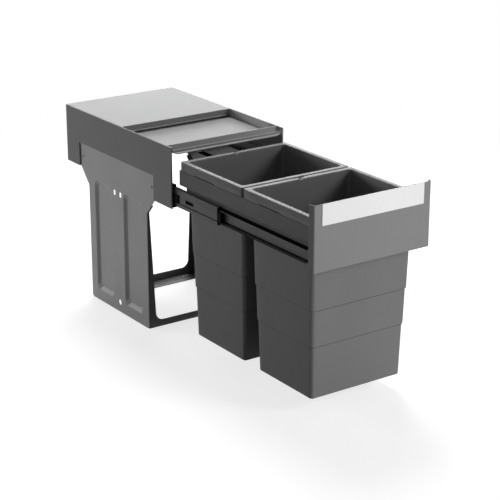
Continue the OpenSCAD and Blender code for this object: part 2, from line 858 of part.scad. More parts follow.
// Stretch inside the rim, where the opening flares outwards
module bin_collar(inset, over) {
    low = bin_h - rim_h;
    hull() {
        bin_slab(low, inset);
        translate([0, 0, bin_h + over])
            linear_extrude(slab)
                round_rect(body_top_w + 2 * (bin_flare - inset), body_top_len - 2 * inset,
                    bin_r - inset, hull_fn);
    }
}

// Tapered bin that hangs by its rim, centred at y
module bin(y) {
    rim_r = bin_r / 2;
    translate([0, y, rim_z - bin_h])
        difference() {
            union() {
                bin_stretch(0, low_step_h, 2 * bin_step);
                bin_stretch(low_step_h, high_step_h, bin_step);
                bin_stretch(high_step_h, bin_h - rim_h + slab, 0);
                bin_collar(0, -slab);
                translate([0, 0, bin_h - bin_t])
                    linear_extrude(bin_t) round_rect(bin_w, bin_len, rim_r);
                translate([0, 0, bin_h - rim_h])
                    linear_extrude(rim_h)
                        difference() {
                            round_rect(bin_w, bin_len, rim_r);
                            round_rect(bin_w - 2 * bin_t, bin_len - 2 * bin_t, rim_r - bin_t);
                        }
            }
            bin_stretch(bin_t, low_step_h + bin_t, 2 * bin_step + bin_t);
            bin_stretch(low_step_h + bin_t, bin_h - rim_h + slab, bin_step + bin_t);
            bin_collar(bin_t, cut);
            box([-notch_w / 2, bin_len / 2 - notch_d, bin_h - bin_t],
                [notch_w / 2, bin_len / 2 + cut, bin_h + cut]);
        }
}

module bin_rear() {
    color(BIN) bin(rear_bin_y);
}

module bin_front() {
    color(BIN) bin(front_bin_y);
}

side_plate(-1);  // side_plate_left
side_plate(1);  // side_plate_right
front_stay();
rear_stay();
top_cover();
storage_tray();
slide_outer(-1);  // slide_outer_left
slide_outer(1);  // slide_outer_right
outer_stop(-1);  // outer_stop_left
outer_stop(1);  // outer_stop_right
slide_middle(-1);  // slide_middle_left
slide_middle(1);  // slide_middle_right
middle_stop(-1);  // middle_stop_left
middle_stop(1);  // middle_stop_right
cage_outer(-1);  // cage_outer_left
cage_outer(1);  // cage_outer_right
cage_inner(-1);  // cage_inner_left
cage_inner(1);  // cage_inner_right
balls_outer(-1);  // balls_outer_left
balls_outer(1);  // balls_outer_right
balls_inner(-1);  // balls_inner_left
balls_inner(1);  // balls_inner_right
slide_inner(-1);  // slide_inner_left
slide_inner(1);  // slide_inner_right
drawer_side(-1);  // drawer_side_left
drawer_side(1);  // drawer_side_right
slide_screws(-1);  // slide_screws_left
slide_screws(1);  // slide_screws_right
cross_bar_rear();
cross_bar_middle();
front_panel();
label_plate();
panel_screws();
rear_bracket();
bracket_body();
bracket_screws();
bin_rear();
bin_front();
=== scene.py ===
# Looks of the pull-out bin frame: rounded sheet edges, moulded bins, painted and rolled metal.
import json
from math import cos, pi, radians, sin

import bmesh
import bpy
from mathutils import Matrix, Vector


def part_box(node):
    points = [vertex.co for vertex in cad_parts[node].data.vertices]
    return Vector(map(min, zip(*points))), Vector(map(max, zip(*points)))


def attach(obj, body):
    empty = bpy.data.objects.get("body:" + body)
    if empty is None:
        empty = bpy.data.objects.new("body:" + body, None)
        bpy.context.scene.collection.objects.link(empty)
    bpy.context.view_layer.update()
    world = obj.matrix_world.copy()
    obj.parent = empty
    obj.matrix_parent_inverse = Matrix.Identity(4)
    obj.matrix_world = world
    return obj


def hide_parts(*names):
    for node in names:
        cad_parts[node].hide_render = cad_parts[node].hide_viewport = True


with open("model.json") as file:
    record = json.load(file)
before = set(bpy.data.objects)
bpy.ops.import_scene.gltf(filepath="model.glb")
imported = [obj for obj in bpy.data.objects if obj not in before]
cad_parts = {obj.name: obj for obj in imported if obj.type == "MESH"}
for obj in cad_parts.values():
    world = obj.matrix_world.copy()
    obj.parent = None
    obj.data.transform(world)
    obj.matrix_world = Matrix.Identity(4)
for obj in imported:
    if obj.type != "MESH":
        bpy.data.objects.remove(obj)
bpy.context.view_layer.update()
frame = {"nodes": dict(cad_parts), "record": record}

MM = 0.001
NODES = frame["nodes"]
RECORD = frame["record"]
BODY_OF = {n: b for b, members in RECORD["behaviour"]["bodies"].items() for n in members}
SLOT_OF = {part["node"]: part["material_slot"] for part in RECORD["subparts"]}


# ---------------------------------------------------------------- materials

def lin(value):
    """Linear grey of a display grey from 0 to 1."""
    return value / 12.92 if value <= 0.04045 else ((value + 0.055) / 1.055) ** 2.4


def grey(value, tint=0.0):
    """Colour of a display grey, a little bluish where tint is above 0."""
    return (lin(value - tint / 2), lin(value), lin(value + tint), 1)


class Shader:
    """Node material with one Principled shader and helpers that add procedural detail."""
    noise_roughness = 0.55
    # Painted highlight along edges: radius and samples of the rounded normal, and the turn where
    # the highlight starts and where it is full
    rub_radius, rub_samples = 0.0008, 6
    rub_from, rub_full = 0.995, 0.9

    def __init__(self, name, roughness, metallic=0.0, specular=0.5):
        self.material = bpy.data.materials.new(name)
        self.material.use_nodes = True
        self.tree = self.material.node_tree
        self.bsdf = next(n for n in self.tree.nodes if n.type == "BSDF_PRINCIPLED")
        self.bsdf.inputs["Metallic"].default_value = metallic
        self.bsdf.inputs["Roughness"].default_value = roughness
        self.bsdf.inputs["Specular IOR Level"].default_value = specular
        self.coords = self.node("ShaderNodeTexCoord").outputs["Object"]

    def node(self, kind, **settings):
        made = self.tree.nodes.new(kind)
        for key, value in settings.items():
            setattr(made, key, value)
        return made

    def link(self, source, target):
        self.tree.links.new(source, target)

    def noise(self, scale, detail=3.0, stretch=(1, 1, 1)):
        """Noise in object space; stretch scales the three axes."""
        mapping = self.node("ShaderNodeMapping")
        mapping.inputs["Scale"].default_value = stretch
        self.link(self.coords, mapping.inputs["Vector"])
        noise = self.node("ShaderNodeTexNoise")
        noise.inputs["Scale"].default_value = scale
        noise.inputs["Detail"].default_value = detail
        noise.inputs["Roughness"].default_value = self.noise_roughness
        self.link(mapping.outputs["Vector"], noise.inputs["Vector"])
        return noise.outputs["Fac"]

    def ramp(self, source, low, high, value_low=0, value_high=1):
        """Map a factor range to a value range, clamped."""
        node = self.node("ShaderNodeMapRange")
        for key, value in (("From Min", low), ("From Max", high),
                           ("To Min", value_low), ("To Max", value_high)):
            node.inputs[key].default_value = value
        self.link(source, node.inputs["Value"])
        return node.outputs["Result"]

    def mix(self, factor, a, b):
        """Mix two colours by a factor socket; a and b are colours or colour sockets."""
        node = self.node("ShaderNodeMix", data_type="RGBA")
        factor_in, a_in, b_in = node.inputs[0], node.inputs[6], node.inputs[7]
        self.link(factor, factor_in)
        for socket, value in ((a_in, a), (b_in, b)):
            if isinstance(value, bpy.types.NodeSocket):
                self.link(value, socket)
            else:
                socket.default_value = value
        return node.outputs[2]

    def bump(self, *layers):
        """Chain of bumps, each as (height socket, strength, distance)."""
        normal = None
        for height, strength, distance in layers:
            node = self.node("ShaderNodeBump")
            node.inputs["Strength"].default_value = strength
            node.inputs["Distance"].default_value = distance
            self.link(height, node.inputs["Height"])
            if normal is not None:
                self.link(normal, node.inputs["Normal"])
            normal = node.outputs["Normal"]
        self.link(normal, self.bsdf.inputs["Normal"])

    def edges(self, colour, edge_colour):
        """Painted highlight: a lighter colour along edges, found by how far a rounded normal turns.
        """
        turned = self.node("ShaderNodeBevel", samples=self.rub_samples)
        turned.inputs["Radius"].default_value = self.rub_radius
        geometry = self.node("ShaderNodeNewGeometry")
        dot = self.node("ShaderNodeVectorMath", operation="DOT_PRODUCT")
        self.link(turned.outputs["Normal"], dot.inputs[0])
        self.link(geometry.outputs["Normal"], dot.inputs[1])
        rubbed = self.ramp(dot.outputs["Value"], self.rub_from, self.rub_full)
        return self.mix(rubbed, colour, edge_colour)

    def finish(self, colour, roughness):
        self.link(colour, self.bsdf.inputs["Base Color"])
        self.link(roughness, self.bsdf.inputs["Roughness"])
        return self.material


def powder_coat(name, tone, roughness, specular, cloud=0.04, drift=0.012):
    """Fine textured powder coat: orange peel, slow tone drift, and a painted highlight along its
    edges.
    """
    s = Shader(name, roughness, specular=specular)
    slow, patches = s.noise(9), s.noise(40, 4)
    peel, speck, peel_strength = s.noise(700, 2), s.noise(2600, 1), 0.12
    colour = s.mix(s.ramp(slow, 0.35, 0.65), grey(tone - drift), grey(tone + drift, 0.004))
    colour = s.mix(s.ramp(speck, 0.62, 0.72, 0, 0.5), colour, grey(tone + 0.05))
    # painted highlight: lighter colour along the edges
    colour = s.edges(colour, grey(tone + 0.07))
    s.bump((peel, peel_strength, 0.0004), (speck, peel_strength, 0.0002))
    return s.finish(colour, s.ramp(patches, 0.3, 0.7, roughness - cloud, roughness + cloud))


def rolled_steel(name, tone, roughness, specular):
    """Dark rolled strip: fine streaks along Y, a film of grease in patches, and a painted highlight
    along its edges.
    """
    s = Shader(name, roughness, specular=specular)
    streak, film = s.noise(1800, 2, (1, 0.02, 1)), s.noise(26, 4, (1, 0.35, 1))
    colour = s.mix(s.ramp(streak, 0.3, 0.7), grey(tone * 0.9), grey(tone * 1.1, 0.004))
    colour = s.mix(s.ramp(film, 0.5, 0.7, 0, 0.5), colour, grey(tone * 0.8))
    # painted highlight: lighter colour along the edges
    colour = s.edges(colour, grey(tone * 1.4))
    s.bump((streak, 0.1, 0.0002))
    return s.finish(colour, s.ramp(film, 0.3, 0.7, roughness + 0.06, roughness - 0.08))


def moulded(name, tone, roughness, specular, grain=0.25, grain_scale=1500):
    """Moulded plastic with a fine spark-eroded grain and faint flow marks."""
    s = Shader(name, roughness, specular=specular)
    fine, flow, patches = s.noise(grain_scale, 2), s.noise(7, 4, (1, 1, 0.4)), s.noise(60)
    colour = s.mix(s.ramp(flow, 0.35, 0.65), grey(tone - 0.01), grey(tone + 0.01, 0.003))
    colour = s.mix(s.ramp(fine, 0.55, 0.75, 0, 0.35), colour, grey(tone + 0.05))
    s.bump((fine, grain, 0.0002), (flow, 0.03, 0.002))
    return s.finish(colour, s.ramp(patches, 0.3, 0.7, roughness - 0.03, roughness + 0.04))


def zinc(name, tone, roughness):
    """Plated screw steel with small bright and dull spots."""
    s = Shader(name, roughness, metallic=0.9)
    spots = s.noise(900)
    colour = s.mix(s.ramp(spots, 0.35, 0.65), grey(tone - 0.06), grey(tone + 0.06, 0.01))
    s.bump((spots, 0.08, 0.0002))
    return s.finish(colour, s.ramp(spots, 0.3, 0.7, roughness - 0.06, roughness + 0.1))


FINISH_VALUES = {
    "plate_paint": (powder_coat, dict(tone=0.71, roughness=0.42, specular=0.25)),
    "frame_paint": (powder_coat, dict(tone=0.37, roughness=0.45, specular=0.15)),
    "cover_paint": (powder_coat, dict(tone=0.495, roughness=0.55, specular=0.2,
                                      cloud=0.008, drift=0.005)),
    # painted highlight: lighter paint for the upward faces of the fold's hem
    "hem_paint": (powder_coat, dict(tone=0.72, roughness=0.5, specular=0.3)),
    "slide_steel": (rolled_steel, dict(tone=0.32, roughness=0.55, specular=0.3)),
    # near-black cages: dark cages are common, and their darkness also stands in for the shade
    # inside the middle member's slot
    "cage_steel": (rolled_steel, dict(tone=0.05, roughness=0.7, specular=0.02)),
    # painted shade: near-black finish for grooves, recesses and gaps along the slides and drawer
    # sides
    "groove_grease": (rolled_steel, dict(tone=0.04, roughness=0.7, specular=0.02)),
    "ball_steel": (zinc, dict(tone=0.85, roughness=0.12)),
    "screw_steel": (zinc, dict(tone=0.34, roughness=0.4)),
    "black_plastic": (moulded, dict(tone=0.045, roughness=0.65, specular=0.03, grain=0.2)),
    "bracket_paint": (powder_coat, dict(tone=0.78, roughness=0.45, specular=0.4)),
    "label": (moulded, dict(tone=0.90, roughness=0.4, specular=0.4, grain=0.05, grain_scale=900)),
    "bin_plastic": (moulded, dict(tone=0.43, roughness=0.5, specular=0.2)),
    # painted shade: dark line along the bins' steps
    "bin_crease": (moulded, dict(tone=0.22, roughness=0.6, specular=0.1)),
}
FINISH = {name: make(name, **values) for name, (make, values) in FINISH_VALUES.items()}


# ---------------------------------------------------------------- pieces from the CAD

WELD = 0.000002                                 # m between vertices that are one
FLAT_ANGLE = radians(0.6)                       # up to this, two faces are one
FLAT_LIMIT = 0.004                              # how far a normal may be from a flat one
CURVE_FROM, CURVE_TO = radians(1), radians(20)  # angles between the faces of a curve
CHANNEL_FROM, CHANNEL_TO = radians(25), radians(60)
SHEET_EDGE = radians(50)                        # the faces at a sheet's edge meet at more
SEGMENTS, WIDE_SEGMENTS, BEND_SEGMENTS = 2, 4, 5
LONG_EDGE = 100                                 # sizes in mm from here
COVER_HALF, COVER_FRONT, COVER_TOP = 130, -211.0, 398.0
FOLD_Y, FOLD_LOW = -27.0, 385.4                 # front fold of the cover, behind the tray
PANEL_FACE = -655.0


def show(mesh, name, body, slot, *nodes, flats=(), sharp=50, second=None):
    """Turn a bmesh into a piece that rides on a body and stands for CAD nodes. Faces whose normal
    is one of flats stay flat, all others are smooth. second is the finish of faces with index 1."""
    data = bpy.data.meshes.new(name)
    smooth = [not any((f.normal - Vector(n)).length < FLAT_LIMIT for n in flats)
              for f in mesh.faces]
    mesh.to_mesh(data)
    data.set_sharp_from_angle(angle=radians(sharp))
    data.polygons.foreach_set("use_smooth", smooth)
    mesh.free()
    for finish in (slot, second) if second else (slot,):
        data.materials.append(FINISH[finish])
    piece = bpy.data.objects.new(name, data)
    bpy.context.scene.collection.objects.link(piece)
    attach(piece, body)
    if nodes:
        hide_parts(*nodes)
    return piece


def bevel(mesh, edges, width, segments):
    bmesh.ops.bevel(mesh, geom=edges, offset=width * MM, offset_type="OFFSET", segments=segments,
                    profile=0.5, affect="EDGES", clamp_overlap=False, material=-1)
    mesh.normal_update()


def folds(mesh):
    """Edges between two faces, with the angle between them."""
    return [(e, e.calc_face_angle(0)) for e in mesh.edges if len(e.link_faces) == 2]


def rounded(name, width=0.35, wide=None, wide_width=2.0, prepare=None, second=None):
    """Copy of a CAD node with rounded edges: first the wide ones that wide(edge, angle) picks."""
    mesh = bmesh.new()
    mesh.from_mesh(NODES[name].data)
    bmesh.ops.remove_doubles(mesh, verts=mesh.verts, dist=WELD)
    bmesh.ops.dissolve_limit(mesh, angle_limit=FLAT_ANGLE, verts=mesh.verts, edges=mesh.edges)
    mesh.normal_update()
    if prepare:
        prepare(mesh)
    curved = {f for e, angle in folds(mesh) if CURVE_FROM < angle < CURVE_TO for f in e.link_faces}
    flats = {tuple(round(c, 3) for c in f.normal) for f in mesh.faces if f not in curved}
    if wide:
        bevel(mesh, [e for e, angle in folds(mesh) if wide(e, angle)], wide_width, WIDE_SEGMENTS)
    bevel(mesh, [e for e, angle in folds(mesh) if angle > SHEET_EDGE], width, SEGMENTS)
    show(mesh, name + "_fine", BODY_OF[name], SLOT_OF[name], name, flats=flats, second=second)


def ends(edge):
    """Both ends of an edge in mm."""
    return edge.verts[0].co / MM, edge.verts[1].co / MM


def centre(face):
    """Middle of a face in mm."""
    return face.calc_center_median() / MM


def channel_edges(edge, angle):
    """Pressed channels have soft edges, and the outline of the sheet crisp ones."""
    return CHANNEL_FROM < angle < CHANNEL_TO


def cover_edges(edge, angle):
    """The cover is bent round its two long top edges."""
    return all(abs(abs(v.x) - COVER_HALF) < 0.2 and v.z > COVER_TOP - 0.5 for v in ends(edge))


def panel_edges(edge, angle):
    """The two upright bends of the front panel."""
    a, b = ends(edge)
    return abs(a.z - b.z) > LONG_EDGE / 2 and all(v.y < PANEL_FACE + 1.5 for v in (a, b))


def slide_edges(edge, angle):
    """Long corners of a rolled member."""
    a, b = ends(edge)
    return angle > SHEET_EDGE and abs(a.y - b.y) > LONG_EDGE


def outward(face):
    """True for a face square to X that looks away from the middle of the unit, False for one that
    looks towards it, and None for all others."""
    if abs(face.normal.x) < 0.9:
        return None
    return centre(face).x * face.normal.x > 0


def split(mesh, place, normal, side):
    """Cut the faces square to X that look away from the middle (side True) or towards it."""
    faces = [f for f in mesh.faces if outward(f) is side]
    edges = list({e for f in faces for e in f.edges})
    verts = list({v for f in faces for v in f.verts})
    bmesh.ops.bisect_plane(mesh, geom=verts + edges + faces, plane_co=Vector(place) * MM,
                           plane_no=normal)


def race_groove(mesh):
    """Rolled groove of the middle member under its proud web, its floor painted near black as
    shade.
    """
    low, high, depth, skin = 290.6, 293.0, 0.7, 122.7
    split(mesh, (0, 0, low), (0, 0, 1), True)
    strips = [f for f in mesh.faces if abs(f.normal.x) > 0.9 and low < centre(f).z < high
              and abs(abs(centre(f).x) - skin) < 0.1]
    # the groove's floor takes the near-black painted shade
    for face in bmesh.ops.extrude_discrete_faces(mesh, faces=strips)["faces"]:
        face.material_index = 1
        inwards = -1 if face.normal.x > 0 else 1
        for vert in face.verts:
            vert.co.x += inwards * depth * MM
    mesh.normal_update()


def race_tracks(mesh):
    """Painted shade: dark lines along the inner member at its top, upper track, foot of the web and
    lower edge.
    """
    foot, top = 293.2, 313.0
    split(mesh, (0, 0, foot), (0, 0, 1), True)
    for face in mesh.faces:
        z, up = centre(face).z, face.normal.z
        if (outward(face) and z < foot) or (up > 0.9 and z > top) or (up < -0.9 and z > foot):
            face.material_index = 1


def side_bend(mesh):
    """Large bend where the upper part of a drawer side turns in over the slide, outside and inside,
    and painted shade on the recess under it."""
    recess, recess_top, step_top = 112.8, 316.8, 330
    for skin, width in ((121.0, 5.0), (119.8, 3.8)):
        picked = []
        for edge in mesh.edges:
            a, b = ends(edge)
            if (all(abs(abs(v.x) - skin) < 0.3 and v.z < step_top for v in (a, b))
                    and abs(a.y - b.y) > LONG_EDGE):
                picked.append(edge)
        bevel(mesh, picked, width, BEND_SEGMENTS)
    split(mesh, (0, 0, recess_top), (0, 0, 1), True)
    # painted shade: the recess under the bend takes the near-black finish
    for face in mesh.faces:
        middle = centre(face)
        if outward(face) and abs(abs(middle.x) - recess) < 0.3 and middle.z < recess_top:
            face.material_index = 1


def plate_inside(mesh):
    """Painted shade: the inner faces of a side plate take the darker frame paint, as dark as the
    stays.
    """
    for face in mesh.faces:
        if abs(face.normal.x) > 0.1 and face.normal.x * centre(face).x < 0:
            face.material_index = 1


def skirt_inside(mesh):
    """Painted light: the inner faces of the skirts beside the tray take the lighter plate paint, as
    light as the plates.
    """
    low = 381
    split(mesh, (0, 0, low), (0, 0, 1), False)
    split(mesh, (0, FOLD_Y, 0), (0, 1, 0), False)
    for face in mesh.faces:
        if outward(face) is False and centre(face).z > low and centre(face).y < FOLD_Y:
            face.material_index = 1


def bracket_fit(mesh):
    """The plate reaches nearly to the end of its body, and its slot sits a little further out."""
    end, end_shift = -50, 5
    slot_from, slot_to, slot_shift = -47, -29, 2.5
    for vert in mesh.verts:
        if vert.co.x < end * MM:
            vert.co.x -= end_shift * MM
        elif slot_from * MM < vert.co.x < slot_to * MM:
            vert.co.x -= slot_shift * MM


# ---------------------------------------------------------------- bins

class BinShape:
    """Sizes of one bin in mm: those of the CAD, then those of its small forms."""
    rim_w, rim_len = 242.0, 202.5
    top_w, top_len = 222.0, 184.0
    taper_w, taper_len = 15.0, 17.0
    height, rim_h, wall = 346.0, 17.5, 2.0
    corner, rim_corner, flare = 8.0, 4.0, 1.7
    step, low_step, high_step = 1.5, 99.5, 168.5
    notch_w, notch_d, notch_ease = 24.0, 2.5, 2.5
    nick_d, nick_half, nick_reach = 2.2, 3.0, 4.5
    shoulder_h, shoulder_half, shoulder_at = 0.8, 4.0, -6.5
    gap_h, gap_from, gap_to, gap_ease_from, gap_ease_to = 1.6, -18.0, 54.0, 10, 6
    # band below and above each step that takes the painted shade
    crease_low, crease_high = 1.0, 0.7
    foot_round, rim_round, lip_round, floor_round = 3, 1.6, 2, 4
    rim_edge = 0.7


NOTCH_HALF = [15, 13, 12, 10.5, 8, 5.5, 3.4, 2.2, 1.4]
NOTCH_X = NOTCH_HALF + [0] + [-x for x in reversed(NOTCH_HALF)]
GAP_Y = [56, 54, 52, 48, 30, 0, -8, -12, -15, -18, -20]
# Rings at a step: height from the step in mm, and share of the next inset in quarters
STEP_RINGS = ((-6, 0), (-0.9, 0), (-0.45, 0), (0, 1), (0.2, 3), (0.6, 4), (1.1, 4), (6, 4))


def ring_points(half_w, half_l, radius, turn=8):
    """Points of a rounded rectangle, with spare points along its straight edges."""
    spare = ([(x, half_l) for x in NOTCH_X], [(-half_w, y) for y in GAP_Y],
             [(-x, -half_l) for x in NOTCH_X], [(half_w, y) for y in reversed(GAP_Y)])
    points = []
    for k, (sx, sy) in enumerate(((1, 1), (-1, 1), (-1, -1), (1, -1))):
        for i in range(turn + 1):
            a = pi / 2 * (k + i / turn)
            points.append((sx * (half_w - radius) + radius * cos(a),
                           sy * (half_l - radius) + radius * sin(a)))
        points += spare[k]
    return points


def soft_step(t):
    """0 up to t = 0 and 1 from t = 1, with round shoulders."""
    t = min(1, max(0, t))
    return t * t * (3 - 2 * t)


def side_gap(y):
    """1 where the rim stands clear of the drawer side, 0 beside it."""
    b = BinShape
    return soft_step(min((b.gap_to - y) / b.gap_ease_to, (y - b.gap_from) / b.gap_ease_from))


def notch_bump(x):
    """1 in the middle of the rear notch, 0 beside it."""
    return soft_step((BinShape.notch_w / 2 + 1 - abs(x)) / BinShape.notch_ease)


def nick(x):
    """Depth in mm of the small nick in the rear edge, with a raised shoulder on one side."""
    b = BinShape
    return (b.nick_d * max(0, 1 - abs(x) / b.nick_half) ** 0.5
            - b.shoulder_h * max(0, 1 - abs(x - b.shoulder_at) / b.shoulder_half))


def quarter(start=0):
    """Angles of a small edge's five rings, from start in degrees over a quarter turn."""
    return [radians(start + 90 * i / 4) for i in range(5)]


def body_half(h, inset):
    """Half width and half length of the tapered body at a height."""
    b = BinShape
    k = h / b.height
    return ((b.top_w - b.taper_w * (1 - k)) / 2 - inset,
            (b.top_len - b.taper_len * (1 - k)) / 2 - inset)


def body_ring(h, inset, skin):
    """Ring of the body wall: inset of the step, skin 0 outside and wall inside."""
    half_w, half_l = body_half(h, inset + skin)
    return h, half_w, half_l, BinShape.corner - skin - inset * 0.3, 0


def stepped(top, skin):
    """Rings up one face of the body: both steps outside, and the lower one inside."""
    b = BinShape
    steps = [(b.low_step + skin, 2 * b.step, b.step)]
    if not skin:
        steps.append((b.high_step, b.step, 0))
    rings = []
    for z, old, new in steps:
        rings += [body_ring(z + up, (old * (4 - share) + new * share) / 4, skin)
                  for up, share in STEP_RINGS]
    rings.append(body_ring(top, new, skin))
    return rings


def bin_rings():
    """Closed profile of a bin from the middle of its underside to the middle of its inner bottom,
    as rings of height, half width, half length, corner radius and share of the rear notch."""
    b = BinShape
    low, top = b.height - b.rim_h, b.height
    rings = []

    def ring(z, half, corner, inset=0.0, notch=0):
        rings.append((z, half[0] - inset, half[1] - inset, corner, notch))

    foot, r = body_half(0, 2 * b.step), b.foot_round
    for z, inset, corner in ((1.2, 12, 4), (0.3, 9, 4), (0.0, 7, 5)):
        ring(z, foot, corner, inset)
    for a in quarter(-90):
        ring(r + r * sin(a), foot, 4 + r * cos(a), r - r * cos(a))
    rings.extend(stepped(low, 0))

    rim, mouth = (b.rim_w / 2, b.rim_len / 2), (b.top_w / 2 + b.flare, b.top_len / 2)
    under = top - b.wall
    ring(under - 1.0, mouth, b.corner)
    rings.append((under, mouth[0] + 0.8, mouth[1] + 0.6, b.corner, 0))
    ring(under, rim, 2.4, b.wall + 0.6)
    ring(under - 0.8, rim, 2, b.wall)
    ring(low + b.rim_edge, rim, 2, b.wall)
    ring(low, rim, 2 + b.rim_edge, b.wall - b.rim_edge)
    ring(low, rim, b.rim_corner - b.rim_edge, b.rim_edge)
    ring(low + b.rim_edge, rim, b.rim_corner)
    ring(top - 7, rim, b.rim_corner)
    ring(top - 4, rim, b.rim_corner, notch=0.5)
    r = b.rim_round
    for a in quarter():
        ring(top - r + r * sin(a), rim, b.rim_corner - r + r * cos(a), r - r * cos(a), 1.0)
    ring(top, rim, 2.4, 3.4, 0.35)
    ring(top, mouth, b.corner - b.wall + 2, b.wall - 2.6)
    r = b.lip_round
    for a in quarter():
        ring(top - r + r * cos(a), mouth, b.corner - b.wall + 1, b.wall - r + r * sin(a))

    rings.extend(reversed(stepped(low, b.wall)))
    floor, r = body_half(b.wall, 2 * b.step + b.wall), b.floor_round
    for a in quarter():
        ring(b.wall + r - r * sin(a), floor, 3.5 + 2 * cos(a), r - r * cos(a))
    for up, inset in ((0.4, 9), (1.4, 12)):
        ring(b.wall + up, floor, 4, inset)
    return rings


def band(mesh, low, high):
    """Quads between two closed rows of vertices."""
    for i in range(len(low)):
        j = (i + 1) % len(low)
        mesh.faces.new((low[i], low[j], high[j], high[i]))


def bin_piece(node):
    """Moulded bin in place of a CAD bin: rounded rim, corners, steps with painted shade along them,
    and a rear notch.
    """
    b = BinShape
    lo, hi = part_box(node)
    middle = Vector(((lo.x + hi.x) / 2, (lo.y + hi.y) / 2, lo.z)) / MM
    mesh = bmesh.new()
    loops = []
    for z, half_w, half_l, corner, notch in bin_rings():
        loop = []
        skirt = abs(z - (b.height - b.rim_h)) < 1 and half_w > b.rim_w / 2 - b.wall - 0.01
        for x, y in ring_points(half_w, half_l, corner):
            up = 0
            if y > half_l - 0.01 and abs(x) < NOTCH_HALF[0] + 1:
                y -= b.notch_d * notch * notch_bump(x)
                up = -nick(x) * max(0, 1 - (b.height - z) / b.nick_reach)
            if skirt and abs(x) > half_w - 0.01:
                up = b.gap_h * side_gap(y)
            loop.append(mesh.verts.new((middle + Vector((x, y, z + up))) * MM))
        loops.append(loop)
    for low, high in zip(loops, loops[1:]):
        band(mesh, low, high)
    mesh.faces.new(list(reversed(loops[0])))
    mesh.faces.new(loops[-1])
    bmesh.ops.recalc_face_normals(mesh, faces=mesh.faces)
    # painted shade: faces in a narrow band at each step take the dark step finish
    for face in mesh.faces:
        heights = [v.co.z / MM - middle.z for v in face.verts]
        for step in (b.low_step, b.high_step):
            if step - b.crease_low < min(heights) and max(heights) < step + b.crease_high:
                face.material_index = 1
    show(mesh, node + "_moulded", BODY_OF[node], "bin_plastic", node,
         sharp=70, second="bin_crease")


# ---------------------------------------------------------------- tray and hem

# Tray sheet seen from the side, in mm: Y from the cover's front, Z from the cover's top
TRAY_PROFILE = [(-5, -13.3), (9.4, -13.3), (9.8, -9.6), (11.6, -9.1), (18, 0), (20, 0),
                (20.05, -16.5), (400, -16.5)]
TRAY_DEEP, TRAY_ROUND, TRAY_HALF, TRAY_CORNER = 214.0, 14.7, 127.0, 44.2
TRAY_THICK = 1.5


def spaced(start, gap, count):
    return [start + gap * i for i in range(count)]


# Rows and columns of the tray's mesh, close together at its bends
TRAY_Y = ([0, 0.6, 2, 5, 8, 8.8] + spaced(9.05, 0.1, 12)
          + [10.5, 11, 11.3, 11.45, 11.6, 11.75, 11.9, 12.2, 13.2, 15, 17, 17.6, 17.7, 17.85]
          + [18, 18.15, 18.3, 18.6, 19, 19.4, 19.6] + spaced(19.7, 0.1, 8)
          + [20.7, 21.2, 23, 30, 38, 43] + spaced(TRAY_CORNER - 0.35, 0.0875, 9)
          + [46, 60, 90, 120, 150, 180, TRAY_DEEP])
TRAY_X = ([0, 30, 60, 90, 106, TRAY_HALF - TRAY_ROUND - 0.6]
          + [TRAY_HALF - TRAY_ROUND + TRAY_ROUND * sin(radians(a)) for a in range(0, 85, 7)]
          + [TRAY_HALF - 0.02])


def along(profile, y):
    """Height of a broken line at y."""
    for (y0, z0), (y1, z1) in zip(profile, profile[1:]):
        if y <= y1:
            return z0 + (z1 - z0) * (y - y0) / (y1 - y0)
    return profile[-1][1]


def tray_height(x, y, reach=0.3, samples=7):
    """Height of the pressed sheet: the profile with rounded bends, and a round end in front."""
    spread = [y + reach * (2 * i / (samples - 1) - 1) for i in range(samples)]
    level = sum(along(TRAY_PROFILE, v) for v in spread) / samples
    over = min(abs(x) - (TRAY_HALF - TRAY_ROUND), TRAY_ROUND)
    if over <= 0:
        return level
    end = min(0.0, TRAY_PROFILE[0][1] + TRAY_ROUND - (TRAY_ROUND ** 2 - over ** 2) ** 0.5)
    share = sum(v < TRAY_CORNER for v in spread) / samples
    return max(level, end) if share == 1 else level + (max(level, end) - level) * share


def tray_piece():
    """Storage tray as one pressed sheet."""
    xs = sorted({round(s * x, 3) for x in TRAY_X for s in (-1, 1)})
    mesh = bmesh.new()
    rows = [[mesh.verts.new(Vector((x, COVER_FRONT + y, COVER_TOP + tray_height(x, y))) * MM)
             for x in xs] for y in TRAY_Y]
    for low, high in zip(rows, rows[1:]):
        for i in range(len(xs) - 1):
            mesh.faces.new((low[i], low[i + 1], high[i + 1], high[i]))
    piece = show(mesh, "storage_tray_pressed", "frame", "cover_paint", "storage_tray", sharp=60)
    sheet = piece.modifiers.new("sheet", "SOLIDIFY")
    sheet.thickness = TRAY_THICK * MM
    sheet.offset = -1
    sheet.use_even_offset = False


def fold_bead():
    """Half-round hem along the lower edge of the cover's front fold, with a painted highlight: its
    upward faces take a lighter paint.
    """
    root, z0, radius, half, light_from = FOLD_Y + 0.3, FOLD_LOW + 0.2, 1.6, 119.0, 0.15
    mesh = bmesh.new()
    section = [(root, z0 + radius)]
    for angle in range(0, 181, 20):
        a = radians(angle)
        section.append((FOLD_Y - radius * sin(a), z0 + radius * cos(a)))
    section.append((root, z0 - radius))
    left, right = ([mesh.verts.new(Vector((x, y, z)) * MM) for y, z in section]
                   for x in (-half, half))
    band(mesh, left, right)
    mesh.faces.new(left)
    mesh.faces.new(list(reversed(right)))
    bmesh.ops.recalc_face_normals(mesh, faces=mesh.faces)
    # painted highlight: faces that look upward take the lighter hem paint
    for face in mesh.faces:
        face.material_index = 1 if face.normal.z > light_from else 0
    show(mesh, "cover_fold_hem", "frame", "cover_paint", sharp=60, second="hem_paint")


# ---------------------------------------------------------------- the unit

